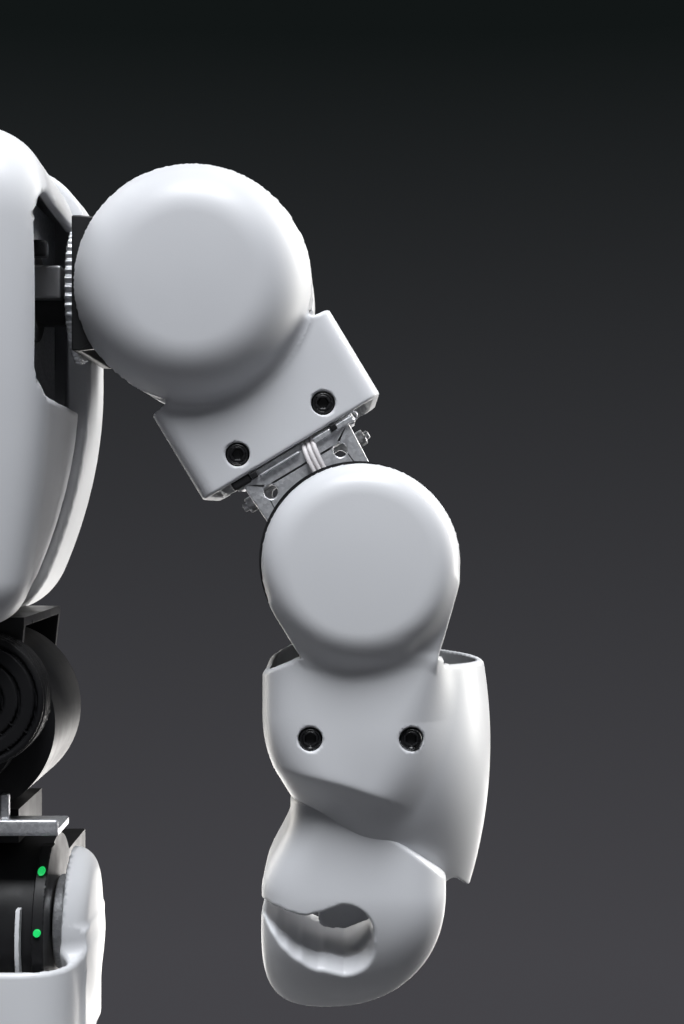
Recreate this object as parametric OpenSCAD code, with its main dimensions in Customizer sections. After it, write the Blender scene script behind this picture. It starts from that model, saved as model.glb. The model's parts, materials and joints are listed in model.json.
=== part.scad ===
// Small humanoid robot kit, 455 mm tall: white moulded covers over black servo units and metal brackets.
// Millimetres, +Z up, the robot faces -Y, origin between the feet on the floor.
// Every part of an arm or a leg is drawn for the robot's left side (+X) and mirrored for its right side.

/* [Servo units] */
// Diameter of the round output end of a large servo
servo_w = 34; // [33:0.5:34.5]
// Distance from the output axis to the far end of a large servo case
servo_len = 33.5; // [32:0.5:34]
// Diameter of the round output end of a small servo
small_w = 20; // [18:1:20]
// Distance from the output axis to the far end of a small servo case
small_len = 24; // [20:1:24]

/* [Brackets] */
// Sheet thickness of the servo brackets
sheet_t = 1.6; // [1.2:0.1:1.6]
// Radial play between a servo stub and its bracket bore
shaft_play = 0.05; // [0.02:0.01:0.1]

/* [Torso] */
// Half width of the torso covers at the shoulders
torso_half_w = 58; // [57:0.5:58.5]
// Height of the torso top
torso_top = 370; // [369:0.5:370.5]
// Height of the torso underside
torso_bottom = 281; // [280.6:0.2:281.4]
// Wall thickness of the torso covers
torso_wall = 2; // [1.5:0.25:2.25]

/* [Arms] */
// Distance of the shoulder roll axis from the middle of the robot
shoulder_x = 82; // [81.5:0.5:84]
// Height of both shoulder axes
shoulder_z = 341.7; // [341:0.1:342.5]
// Length of the upper arm, from the roll axis to the elbow axis
upper_arm_len = 60; // [60:0.5:62]
// Outward tilt of the upper arm at rest
arm_tilt = 31; // [28:1:34]
// Radius of the shoulder disc
shoulder_disc_r = 21.5; // [20:0.5:21.5]
// Radius of the elbow disc
elbow_disc_r = 17.8; // [17:0.1:18]
// Wall thickness of the arm covers
arm_wall = 1.3; // [1:0.1:1.4]
// Radius of the round grip through the hand
grip_r = 6; // [5:0.5:6]

/* [Legs] */
// Distance of each leg from the middle of the robot
hip_x = 39; // [39:0.5:42]
// Height of the hip roll axis
hip_roll_z = 260; // [259:0.5:260]
// Height of the hip pitch axis
hip_pitch_z = 219.5; // [219:0.5:220]
// Height of the knee axis
knee_z = 138; // [136:0.5:139]
// Height of the ankle pitch axis
ankle_pitch_z = 52; // [51.5:0.5:53]
// Height of the ankle roll axis
ankle_roll_z = 21; // [20.5:0.5:21]
// Length of the foot
foot_len = 104; // [90:2:110]
// Width of the foot
foot_w = 52; // [44:2:52]

/* [Head] */
// Height of the head tilt axis
tilt_z = 395; // [394:0.5:396]
// Overall height of the robot
overall_h = 455; // [450:1:458]
// Width of the head
head_w = 84; // [76:2:90]
// Depth of the head
head_d = 76; // [72:2:80]

/* [Hidden] */
SIDES = ["left", "right"];
ARM = ["shoulder_yoke", "shoulder_roll_servo", "upper_arm_front_cover", "upper_arm_rear_cover",
       "elbow_bracket", "elbow_cable", "upper_arm_screws", "elbow_servo", "forearm_front_cover",
       "forearm_rear_cover", "hand", "forearm_screws"];
LEG = ["hip_yaw_bracket", "hip_servos", "thigh_frame", "thigh_cover", "knee_servo", "shin_frame",
       "shin_cover", "ankle_pitch_servo", "ankle_unit", "foot"];
TRUNK = ["chest_shell", "back_shell", "torso_frame", "battery_pack", "control_board",
         "shoulder_pitch_servos", "hip_yaw_servos", "neck_pan_servo", "torso_screws", "power_button",
         "neck_bracket", "head_tilt_servo", "head_shell", "head_rear_shell", "face_visor", "eye_lenses"];

$fn = 64;
white = [0.88, 0.89, 0.90];
black = [0.06, 0.06, 0.07];
zinc = [0.72, 0.73, 0.74];
grey = [0.35, 0.36, 0.37];
green = [0.10, 0.35, 0.18];

eps = 0.05;
servo_r = servo_w / 2;
case_ratio = 0.68;
servo_half = 15;
small_r = small_w / 2;
small_half = 12;
stub_r = 3;
small_stub_r = 2.5;
stub_reach = 3.9;
small_stub_reach = 3.5;
long_stub_reach = 8;
horn_r = 9;
small_horn_r = 6;
horn_gap = 0.3;
ear_in = servo_half + 2.6;
ear_out = ear_in + sheet_t;
small_ear_in = small_half + 2.2;
small_ear_out = small_ear_in + sheet_t;
ear_r = 10;

torso_front = -42;
torso_back = 38;
torso_corner = 16;
torso_top_corner = 16;
seam_y = 11;
opening_front = -34;
opening_low = 319.7;
opening_high = 355.7;
pitch_servo_x = 32.5;
yaw_servo_z = 309;
neck_servo_z = 354;
plate_low = 321;
plate_high = 358.7;
back_screws = [[30, 363.5], [36, 300]];
button_z = 335;
button_r = 4;

yoke_web = 20.7;
yoke_h = 25;
elbow_web = 21.8;
elbow_ear_w = 22.5;
cover_front = 20.6;
cover_inner_w = 17.3;
cover_bottom = 35.4;
screw_side = 9.15;
screw_down = 31.4;
recess_r = 2.2;
screw_hole_r = 1.15;
screw_shaft_r = 1.1;
screw_head_r = 2.0;
forearm_front = 23.9;
forearm_screw_down = 32;
disc_back = 22.6;
ring_r = 18.1;
hand_half = 15.5;
tang_half = 7;
grip = [-3, -69.7];
cuff_z = -18;

leg_cover_in = 19.8;
leg_cover_t = 1.5;
leg_cover_half_d = 22;
thigh_cover_top = 215.5;

head_bottom = tilt_z - 10;
head_corner = 26;
head_chin = 20;
head_wall = 2;

// ---------- helpers ----------

module sided(side) {
    if (side == "left") children();
    else mirror([1, 0, 0]) children();
}

// Draws in the XZ plane of the robot, from y = near to y = far
module slab(near, far) {
    translate([0, far, 0]) rotate([90, 0, 0]) linear_extrude(far - near) children();
}

// A cylinder along Y, from y = near to y = far
module pin_y(r, near, far) {
    translate([0, far, 0]) rotate([90, 0, 0]) cylinder(r = r, h = far - near);
}

// A cylinder along X, from x = near to x = far
module pin_x(r, near, far) {
    translate([near, 0, 0]) rotate([0, 90, 0]) cylinder(r = r, h = far - near);
}

module round_rect(w, h, r) {
    square([w - 2 * r, h], center = true);
    square([w, h - 2 * r], center = true);
    for (x = [-1, 1], y = [-1, 1])
        translate([x * (w / 2 - r), y * (h / 2 - r)]) circle(r);
}

// A round output end of radius r on a narrower case
module servo_outline(r, len) {
    circle(r);
    translate([-case_ratio * r, -len]) square([2 * case_ratio * r, len]);
}

// A servo with its output axis along Y at the origin and its case hanging down
module servo(near_reach = stub_reach, far_reach = stub_reach) {
    slab(-servo_half, servo_half) servo_outline(servo_r, servo_len);
    pin_y(stub_r, -servo_half - near_reach, servo_half + far_reach);
}

module small_servo(near_reach = small_stub_reach, far_reach = small_stub_reach) {
    slab(-small_half, small_half) servo_outline(small_r, small_len);
    pin_y(small_stub_r, -small_half - near_reach, small_half + far_reach);
}

// Two ears with servo horns on a common axis along Y, and a web above them
module u_bracket(web, width) {
    difference() {
        union() {
            for (side = [0, 1]) mirror([0, side, 0]) {
                slab(ear_in, ear_out) {
                    circle(ear_r);
                    polygon([[-ear_r, 0], [ear_r, 0], [width / 2, web], [width / 2, web + sheet_t],
                             [-width / 2, web + sheet_t], [-width / 2, web]]);
                }
                pin_y(horn_r, servo_half + horn_gap, ear_in + 0.2);
            }
            translate([-width / 2, -ear_out, web]) cube([width, 2 * ear_out, sheet_t]);
        }
        pin_y(stub_r + shaft_play, -ear_out - 1, ear_out + 1);
    }
}

module at_shoulder() {
    translate([shoulder_x, 0, shoulder_z]) rotate([0, -arm_tilt, 0]) children();
}

module at_elbow() {
    translate([shoulder_x + upper_arm_len * sin(arm_tilt), 0, shoulder_z - upper_arm_len * cos(arm_tilt)])
        children();
}

// ---------- torso ----------

module torso_front_outline(t) {
    w = torso_half_w - t;
    r = torso_top_corner - t;
    low = torso_bottom + t;
    polygon([[-w, torso_top - torso_top_corner], [-w, 325], [-54 + t, 305], [-50.5 + t, 288], [-47 + t, low],
             [47 - t, low], [50.5 - t, 288], [54 - t, 305], [w, 325], [w, torso_top - torso_top_corner]]);
    for (x = [-1, 1])
        translate([x * (torso_half_w - torso_top_corner), torso_top - torso_top_corner]) circle(r);
    translate([-(torso_half_w - torso_top_corner), torso_top - torso_top_corner - 1])
        square([2 * (torso_half_w - torso_top_corner), torso_top_corner - t + 1]);
}

module torso_body(t) {
    intersection() {
        slab(torso_front - 1, torso_back + 1) torso_front_outline(t);
        translate([0, (torso_front + torso_back) / 2, 270]) linear_extrude(110)
            round_rect(2 * (torso_half_w - t), torso_back - torso_front - 2 * t, torso_corner - t);
    }
}

module torso_shell() {
    difference() {
        torso_body(0);
        torso_body(torso_wall);
        for (x = [-1, 1]) translate([x * hip_x, 0, torso_bottom - 1]) cylinder(r = 7, h = 4);
        translate([0, 0, torso_top - 4]) cylinder(r = 7, h = 6);
    }
}

module chest_shell() {
    color(white) difference() {
        torso_shell();
        translate([-70, seam_y, 260]) cube([140, 60, 130]);
        for (side = SIDES) sided(side)
            translate([48, opening_front, opening_low])
                cube([20, 60, opening_high - opening_low]);
    }
}

module back_shell() {
    color(white) difference() {
        union() {
            intersection() {
                torso_shell();
                translate([-70, seam_y + 0.2, 260]) cube([140, 60, 130]);
            }
            for (x = [-1, 1], screw = back_screws)
                translate([x * screw[0], 0, screw[1]]) pin_y(2.8, 28, torso_back - torso_wall + 0.1);
        }
        for (x = [-1, 1], screw = back_screws) translate([x * screw[0], 0, screw[1]]) {
            pin_y(screw_hole_r, 20, 40);
            pin_y(recess_r, torso_back - 1.5, 40);
        }
        translate([0, 0, button_z]) pin_y(button_r + 0.3, 30, 40);
    }
}

module torso_screws() {
    color(zinc) for (x = [-1, 1], screw = back_screws) translate([x * screw[0], 0, screw[1]]) {
        pin_y(screw_shaft_r, 26, torso_back - 1);
        pin_y(screw_head_r, torso_back - 1.5, torso_back - 0.1);
    }
}

module power_button() {
    color(grey) translate([0, 0, button_z]) {
        pin_y(button_r, torso_back - 4, torso_back + 1.6);
        pin_y(button_r + 1.2, torso_back - 4.2, torso_back - 4);
    }
}

module torso_frame() {
    color(zinc) difference() {
        union() {
            translate([-49.1, -17, plate_low]) cube([98.2, 42, sheet_t]);
            translate([-49.1, -15, plate_high]) cube([98.2, 39, sheet_t]);
            for (side = SIDES) sided(side)
                translate([47.5, -15, plate_low]) cube([sheet_t, 39, plate_high + sheet_t - plate_low]);
        }
        for (side = SIDES) sided(side) translate([0, 0, shoulder_z]) pin_x(horn_r + 0.5, 40, 60);
        translate([-small_r - 0.3, -small_len - 1, plate_high - 1]) cube([small_w + 0.6, 36, 6]);
        for (x = [-28, -9.5, 9.5, 28]) translate([x, 16, plate_low - 1]) cylinder(r = 3, h = 4);
    }
}

module battery_pack() {
    color(black) translate([0, 26.5, 302]) rotate([90, 0, 0])
        linear_extrude(16, center = true) round_rect(60, 33, 3);
}

module control_board() {
    color(green) translate([-34, -36, 288]) cube([68, 1.6, 50]);
    color(black) for (x = [-20, 2], z = [296, 314]) translate([x, -38, z]) cube([14, 2 - eps, 10]);
    color(grey) for (x = [-28, 16]) translate([x, -34.4 + eps, 326]) cube([12, 5, 7]);
}

module shoulder_pitch_servos() {
    color(black) for (side = SIDES) sided(side)
        translate([pitch_servo_x, 0, shoulder_z]) rotate([90, 90, 0]) servo(0, long_stub_reach);
}

module hip_yaw_servos() {
    color(black) for (side = SIDES) sided(side)
        translate([hip_x, 0, yaw_servo_z]) rotate([90, 0, 90]) small_servo(small_stub_reach, 0);
}

module neck_pan_servo() {
    color(black) translate([0, 0, neck_servo_z]) rotate([90, 0, 180]) small_servo(0, small_stub_reach);
}

// ---------- neck and head ----------

module neck_bracket() {
    web = tilt_z - torso_top - 3;
    color(black) {
        difference() {
            union() {
                translate([0, 0, tilt_z]) rotate([0, 0, 90]) mirror([0, 0, 1]) u_bracket(web - sheet_t, 22);
                translate([0, 0, neck_servo_z + small_half + horn_gap])
                    cylinder(r = small_horn_r, h = torso_top + 3.1 - neck_servo_z - small_half - horn_gap);
            }
            translate([0, 0, neck_servo_z]) cylinder(r = small_stub_r + shaft_play, h = 18);
        }
    }
}

module head_tilt_servo() {
    color(black) translate([0, 0, tilt_z]) rotate([0, 0, 90]) mirror([0, 0, 1]) servo();
}

module head_body(t) {
    h = overall_h - head_bottom;
    intersection() {
        slab(-head_d, head_d) translate([0, head_bottom + h / 2])
            round_rect(head_w - 2 * t, h - 2 * t, head_corner - t);
        rotate([0, 0, 90]) slab(-head_w, head_w) translate([0, head_bottom + h / 2])
            round_rect(head_d - 2 * t, h - 2 * t, head_chin - t);
    }
}

module head_hollow() {
    difference() {
        head_body(0);
        head_body(head_wall);
        translate([-25, -24, head_bottom - 5]) cube([50, 48, 12]);
    }
}

module head_shell() {
    color(white) difference() {
        head_hollow();
        translate([-60, 0, head_bottom - 5]) cube([120, 60, 100]);
        slab(-head_d, -20) translate([0, tilt_z + 29]) round_rect(60, 26, 12);
    }
}

module head_rear_shell() {
    color(white) {
        difference() {
            head_hollow();
            translate([-60, -60 + 0.2, head_bottom - 5]) cube([120, 60, 100]);
        }
        translate([-8, 2, tilt_z + servo_len + eps]) cube([16, 10, overall_h - tilt_z - servo_len - 1]);
    }
}

module face_visor() {
    color(black) slab(-head_d / 2 + 0.6, -head_d / 2 + 3) translate([0, tilt_z + 29])
        round_rect(59.4, 25.4, 11.7);
}

module eye_lenses() {
    color(grey) for (x = [-14, 14]) translate([x, 0, tilt_z + 29]) pin_y(5.5, -head_d / 2 - 0.4, -head_d / 2 + 0.6);
}

// ---------- arm ----------

module shoulder_yoke() {
    hub_x = pitch_servo_x + servo_half + horn_gap;
    web_x = shoulder_x - yoke_web - sheet_t;
    color(black) difference() {
        union() {
            translate([shoulder_x, 0, shoulder_z]) rotate([0, -90, 0]) u_bracket(yoke_web, yoke_h);
            translate([0, 0, shoulder_z]) {
                pin_x(horn_r, hub_x, hub_x + 2.2);
                pin_x(stub_r + 3, hub_x + 2, web_x + 0.2);
                pin_x(horn_r, web_x - 2.5, web_x + 0.2);
            }
        }
        translate([0, 0, shoulder_z]) pin_x(stub_r + shaft_play, hub_x - 1, web_x + 3);
    }
}

module cover_screw_holes(near, far, recess, down) {
    for (x = [-1, 1]) translate([x * screw_side, 0, -down]) {
        pin_y(screw_hole_r, near, far);
        pin_y(recess_r, near - 1, recess);
    }
}

// A servo case drilled for the screws that hold the covers
module drilled_servo(down) {
    difference() {
        servo();
        for (side = [0, 1]) mirror([0, side, 0]) for (x = [-1, 1])
            translate([x * screw_side, 0, -down]) pin_y(screw_hole_r, -servo_half - 1, -servo_half + 5);
    }
}

module shoulder_roll_servo() {
    color(black) at_shoulder() drilled_servo(screw_down);
}

// One half of the upper arm cover, on the front (-Y) side
module upper_arm_cover(disc_r) {
    w = cover_inner_w + arm_wall;
    skin = cover_front - 1;
    difference() {
        union() {
            difference() {
                translate([-w, -cover_front, -cover_bottom]) cube([2 * w, cover_front - 0.1, cover_bottom - 14]);
                translate([-cover_inner_w, -skin, -cover_bottom - 1])
                    cube([2 * cover_inner_w, cover_front, cover_bottom]);
            }
            pin_y(disc_r, -24.6, -19.8);
            for (x = [-1, 1]) translate([x * screw_side, 0, -screw_down]) pin_y(3, -skin - 0.2, -servo_half);
        }
        cover_screw_holes(-30, -10, -cover_front + 1.8, screw_down);
    }
}

module upper_arm_front_cover() {
    color(white) at_shoulder() upper_arm_cover(shoulder_disc_r);
}

module upper_arm_rear_cover() {
    color(white) at_shoulder() mirror([0, 1, 0]) upper_arm_cover(shoulder_disc_r - 2);
}

module cover_screws(front, down) {
    for (side = [0, 1]) mirror([0, side, 0]) for (x = [-1, 1]) translate([x * screw_side, 0, -down]) {
        pin_y(screw_shaft_r, -front + 1, -servo_half + 4.5);
        pin_y(screw_head_r, -front + 0.3, -front + 1.8);
    }
}

module upper_arm_screws() {
    color(black) at_shoulder() cover_screws(cover_front, screw_down);
}

module elbow_bracket() {
    channel_low = elbow_web + sheet_t - 0.1;
    channel_high = upper_arm_len - servo_len;
    color(zinc) at_shoulder() translate([0, 0, -upper_arm_len]) difference() {
        union() {
            u_bracket(elbow_web, elbow_ear_w);
            translate([-13, -11, channel_high - 1.2]) cube([26, 22, 1.2]);
            for (x = [-13, -5, 3.8, 11.8]) translate([x, -11, channel_low]) cube([1.2, 22, channel_high - channel_low]);
            translate([-elbow_ear_w / 2, -8, channel_low]) cube([elbow_ear_w, 16, 0.6]);
        }
        for (x = [-7.45, 7.45]) translate([x, 0, elbow_web - 2.2]) pin_y(1.3, -ear_out - 1, ear_out + 1);
    }
}

module elbow_cable() {
    color(white) at_shoulder() for (i = [0 : 2])
        translate([2 + i, -ear_out - 1, -upper_arm_len + 8]) cylinder(r = 0.45, h = 16);
}

module elbow_servo() {
    color(black) at_elbow() {
        drilled_servo(forearm_screw_down);
        translate([-0.4, 0, 0.4]) difference() {
            pin_y(ring_r, -disc_back + eps, -disc_back + 1.3);
            pin_y(13, -disc_back - 1, -disc_back + 2);
        }
    }
}

// Outline of the forearm seen from the front, t inside the outer face
module forearm_outline(t) {
    polygon([[-18.3 + t, cuff_z], [-18 + t, -30], [-15 + t, -43.9], [22 - t, -58.6], [25 - t, -50], [26.5 - t, -32],
             [24 - t, cuff_z]]);
}

// One half of the forearm cover, on the front (-Y) side
module forearm_cover() {
    difference() {
        union() {
            difference() {
                slab(-forearm_front, -0.1) forearm_outline(0);
                slab(-disc_back, 1) {
                    intersection() {
                        forearm_outline(arm_wall);
                        translate([-40, -43]) square([80, 60]);
                    }
                    translate([-cover_inner_w + 0.3, cuff_z - 2]) square([2 * cover_inner_w, 4]);
                }
            }
            pin_y(elbow_disc_r, -forearm_front - 1.5, -disc_back);
            slab(-forearm_front, -disc_back) translate([-12, cuff_z - 1]) square([24, 8]);
            for (x = [-1, 1]) translate([x * screw_side, 0, -forearm_screw_down])
                pin_y(3, -disc_back - 0.2, -servo_half);
        }
        cover_screw_holes(-30, -10, -forearm_front + 2, forearm_screw_down);
        slab(-tang_half - 0.3, 1) translate([-tang_half - 0.3, -62]) square([2 * tang_half + 0.6, 24]);
    }
}

module forearm_front_cover() {
    color(white) at_elbow() forearm_cover();
}

module forearm_rear_cover() {
    color(white) at_elbow() mirror([0, 1, 0]) forearm_cover();
}

module forearm_screws() {
    color(black) at_elbow() cover_screws(forearm_front, forearm_screw_down);
}

module hand_outline() {
    difference() {
        union() {
            polygon([[-15, -44], [21.7, -58.7], [16, -60], [13.5, -70], [-17.8, -72], [-18, -62], [-14.5, -53]]);
            translate([-3.4, -69.8]) circle(15.2);
            translate([1, -62]) circle(14.5);
        }
        polygon([[-30, -38.2], [-15, -44.2], [21.7, -58.9], [30, -62.2], [30, -30]]);
    }
}

module hand() {
    color(white) at_elbow() {
        slab(-hand_half, hand_half) difference() {
            hand_outline();
            translate(grip) circle(grip_r);
            polygon([[-22, -62.5], [-16, -63.5], [grip[0], grip[1] + grip_r - 0.5],
                     [grip[0], grip[1] - grip_r + 0.5], [-16, -68.5], [-22, -66]]);
        }
        translate([-tang_half, -tang_half, -56]) cube([2 * tang_half, 2 * tang_half, 56 - servo_len]);
    }
}

// ---------- leg ----------

module hip_cap() {
    difference() {
        pin_y(11.5, -ear_out - 5, -ear_out + 0.1);
        for (r = [10.4, 7.4, 4.4]) difference() {
            pin_y(r, -ear_out - 6, -ear_out - 3.6);
            pin_y(r - 1.7, -ear_out - 7, -ear_out);
        }
    }
}

module hip_yaw_bracket() {
    web = torso_bottom - hip_roll_z - 2.5;
    hub_low = hip_roll_z + web + sheet_t - 0.1;
    hub_high = yaw_servo_z - small_half - horn_gap;
    color(black) difference() {
        union() {
            translate([hip_x, 0, hip_roll_z]) {
                u_bracket(web, 24);
                hip_cap();
            }
            translate([hip_x, 0, hub_low]) cylinder(r = small_horn_r, h = hub_high - hub_low);
        }
        translate([hip_x, 0, hub_high - 6]) cylinder(r = small_stub_r + shaft_play, h = 10);
    }
}

module hip_servos() {
    color(black) {
        translate([hip_x, 0, hip_roll_z]) rotate([0, 90, 0]) servo();
        translate([hip_x, 0, hip_pitch_z]) rotate([90, 90, 0]) servo();
    }
    low = hip_pitch_z + servo_r + eps;
    high = hip_roll_z - servo_r - eps;
    color(zinc) translate([hip_x - 9, -9, low]) cube([18, 24, high - low]);
}

module thigh_frame() {
    web = hip_pitch_z - knee_z - servo_len - sheet_t;
    color(zinc) translate([hip_x, 0, hip_pitch_z]) rotate([0, 0, 90]) mirror([0, 0, 1])
        u_bracket(web, 26);
}

// A four-sided leg cover between two heights, with its rear wall lower than its front
module leg_cover(low, high, rear_high) {
    w = 2 * (leg_cover_in + leg_cover_t);
    d = 2 * leg_cover_half_d;
    difference() {
        translate([hip_x, 0, low]) linear_extrude(high - low) difference() {
            round_rect(w, d, 5);
            round_rect(w - 2 * leg_cover_t, d - 2 * leg_cover_t, 3.5);
        }
        translate([hip_x - 40, 10, rear_high]) cube([80, 40, high]);
    }
}

module thigh_cover() {
    outside = hip_x + leg_cover_in;
    color(white) {
        leg_cover(152, thigh_cover_top, 176);
        translate([0, 0, hip_pitch_z]) pin_x(14, outside, outside + 3.2);
        translate([outside, -10, 200]) cube([leg_cover_t, 20, hip_pitch_z - 200]);
        for (x = [hip_x - leg_cover_in - 0.1, hip_x + ear_out], y = [-6, 6])
            translate([0, y, 190]) pin_x(3, x, x + leg_cover_in - ear_out + 0.1);
    }
}

module knee_servo() {
    color(black) translate([hip_x, 0, knee_z]) rotate([0, 0, 90]) mirror([0, 0, 1]) servo();
}

module shin_frame() {
    web = knee_z - ankle_pitch_z - servo_len - sheet_t;
    color(zinc) translate([hip_x, 0, knee_z]) rotate([0, 0, 90]) mirror([0, 0, 1]) u_bracket(web, 26);
}

module shin_cover() {
    color(white) {
        leg_cover(48, 104, 98);
        for (x = [hip_x - leg_cover_in - 0.1, hip_x + ear_out], y = [-6, 6])
            translate([0, y, 94]) pin_x(3, x, x + leg_cover_in - ear_out + 0.1);
    }
}

module ankle_pitch_servo() {
    color(black) translate([hip_x, 0, ankle_pitch_z]) rotate([0, 0, 90]) mirror([0, 0, 1]) servo();
}

module ankle_unit() {
    web = ankle_pitch_z - ankle_roll_z - small_r - sheet_t - 0.1;
    color(black) translate([hip_x, 0, ankle_pitch_z]) rotate([0, 0, 90]) mirror([0, 0, 1]) u_bracket(web, 20);
    color(black) translate([hip_x, 0, ankle_roll_z]) rotate([0, 90, 0]) small_servo();
}

module foot() {
    color(black) translate([hip_x, 0, 0]) {
        difference() {
            union() {
                linear_extrude(3) round_rect(foot_w, foot_len, 12);
                for (side = [0, 1]) mirror([0, side, 0]) {
                    slab(small_ear_in, small_ear_out) translate([0, ankle_roll_z]) {
                        circle(8);
                        translate([-8, -ankle_roll_z + 1]) square([16, ankle_roll_z - 1]);
                    }
                    translate([0, 0, ankle_roll_z])
                        pin_y(small_horn_r, small_half + horn_gap, small_ear_in + 0.1);
                }
                translate([-foot_w / 2 + 4, -foot_len / 2 + 4, 2]) cube([foot_w - 8, 26, 11]);
                translate([-foot_w / 2 + 4, foot_len / 2 - 30, 2]) cube([foot_w - 8, 26, 9]);
            }
            translate([0, 0, ankle_roll_z]) pin_y(small_stub_r + shaft_play, -30, 30);
        }
    }
}

// ---------- drawing ----------

module trunk_part(part) {
    if (part == "chest_shell") chest_shell();
    if (part == "back_shell") back_shell();
    if (part == "torso_frame") torso_frame();
    if (part == "battery_pack") battery_pack();
    if (part == "control_board") control_board();
    if (part == "shoulder_pitch_servos") shoulder_pitch_servos();
    if (part == "hip_yaw_servos") hip_yaw_servos();
    if (part == "neck_pan_servo") neck_pan_servo();
    if (part == "torso_screws") torso_screws();
    if (part == "power_button") power_button();
    if (part == "neck_bracket") neck_bracket();
    if (part == "head_tilt_servo") head_tilt_servo();
    if (part == "head_shell") head_shell();
    if (part == "head_rear_shell") head_rear_shell();
    if (part == "face_visor") face_visor();
    if (part == "eye_lenses") eye_lenses();
}

module limb_part(part) {
    if (part == "shoulder_yoke") shoulder_yoke();
    if (part == "shoulder_roll_servo") shoulder_roll_servo();
    if (part == "upper_arm_front_cover") upper_arm_front_cover();
    if (part == "upper_arm_rear_cover") upper_arm_rear_cover();
    if (part == "elbow_bracket") elbow_bracket();
    if (part == "elbow_cable") elbow_cable();
    if (part == "upper_arm_screws") upper_arm_screws();
    if (part == "elbow_servo") elbow_servo();
    if (part == "forearm_front_cover") forearm_front_cover();
    if (part == "forearm_rear_cover") forearm_rear_cover();
    if (part == "hand") hand();
    if (part == "forearm_screws") forearm_screws();
    if (part == "hip_yaw_bracket") hip_yaw_bracket();
    if (part == "hip_servos") hip_servos();
    if (part == "thigh_frame") thigh_frame();
    if (part == "thigh_cover") thigh_cover();
    if (part == "knee_servo") knee_servo();
    if (part == "shin_frame") shin_frame();
    if (part == "shin_cover") shin_cover();
    if (part == "ankle_pitch_servo") ankle_pitch_servo();
    if (part == "ankle_unit") ankle_unit();
    if (part == "foot") foot();
}

for (part = TRUNK) trunk_part(part);

for (part = concat(ARM, LEG), side = SIDES)
    sided(side) limb_part(part);
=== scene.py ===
"""Looks of a small humanoid robot kit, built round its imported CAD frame.

The white mouldings are modelled as distance fields in millimetres, each in the frame of its own joint, and
turned into meshes that replace the plain CAD covers. Servos, brackets and boards keep their CAD meshes.
"""
import json
import math

import bmesh
import bpy
import numpy as np
from mathutils import Matrix, Vector


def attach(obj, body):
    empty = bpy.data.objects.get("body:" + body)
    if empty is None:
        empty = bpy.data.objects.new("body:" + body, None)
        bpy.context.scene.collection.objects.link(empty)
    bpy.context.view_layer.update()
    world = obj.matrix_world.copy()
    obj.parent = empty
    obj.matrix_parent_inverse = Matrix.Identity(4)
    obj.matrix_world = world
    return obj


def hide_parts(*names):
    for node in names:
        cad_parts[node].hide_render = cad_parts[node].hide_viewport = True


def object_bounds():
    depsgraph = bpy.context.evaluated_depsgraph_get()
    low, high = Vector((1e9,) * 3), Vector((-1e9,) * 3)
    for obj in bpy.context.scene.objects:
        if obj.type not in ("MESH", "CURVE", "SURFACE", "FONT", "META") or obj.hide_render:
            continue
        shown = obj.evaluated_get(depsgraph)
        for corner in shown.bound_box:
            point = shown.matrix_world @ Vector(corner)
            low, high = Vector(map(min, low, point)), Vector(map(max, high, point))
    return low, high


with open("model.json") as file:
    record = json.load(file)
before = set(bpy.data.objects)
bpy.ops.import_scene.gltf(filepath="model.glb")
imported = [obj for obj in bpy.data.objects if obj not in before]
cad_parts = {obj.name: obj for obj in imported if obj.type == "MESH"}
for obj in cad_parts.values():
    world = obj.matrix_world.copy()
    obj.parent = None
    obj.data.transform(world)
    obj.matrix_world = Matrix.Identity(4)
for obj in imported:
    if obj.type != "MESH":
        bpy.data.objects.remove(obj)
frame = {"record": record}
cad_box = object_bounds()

MM = 0.001
RECORD = frame["record"]
JOINTS = {joint["name"]: joint for joint in RECORD["behaviour"]["joints"]}


def joint_mm(name):
    """A joint's place at rest, in millimetres."""
    return np.array(JOINTS[name]["pos_m"]) / MM


SHOULDER = joint_mm("shoulder_roll_left")
ELBOW = joint_mm("elbow_left")
HIP_ROLL = joint_mm("hip_roll_left")
HIP_PITCH = joint_mm("hip_pitch_left")
ANKLE_ROLL = joint_mm("ankle_roll_left")
NECK_TILT = joint_mm("head_tilt")
ARM_TILT = math.atan2(ELBOW[0] - SHOULDER[0], SHOULDER[2] - ELBOW[2])

# ---------- camera ----------

# millimetres; the view height is the height seen in the plane at CAMERA_PLANE_Y
CAMERA_DISTANCE = 300.0
CAMERA_PLANE_Y = -20.0
VIEW_HEIGHT = 187.9
VIEW_CENTRE_X = 109.5
VIEW_CENTRE_Z = 299.5

camera = bpy.data.objects.new("camera", bpy.data.cameras.new("camera"))
bpy.context.scene.collection.objects.link(camera)
bpy.context.scene.camera = camera
camera.location = Vector((VIEW_CENTRE_X, CAMERA_PLANE_Y - CAMERA_DISTANCE, VIEW_CENTRE_Z)) * MM
camera.rotation_euler = (math.radians(90), 0, 0)
camera.data.lens = camera.data.sensor_width * CAMERA_DISTANCE / VIEW_HEIGHT
camera.data.clip_start = 0.01

# ---------- materials ----------


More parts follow.
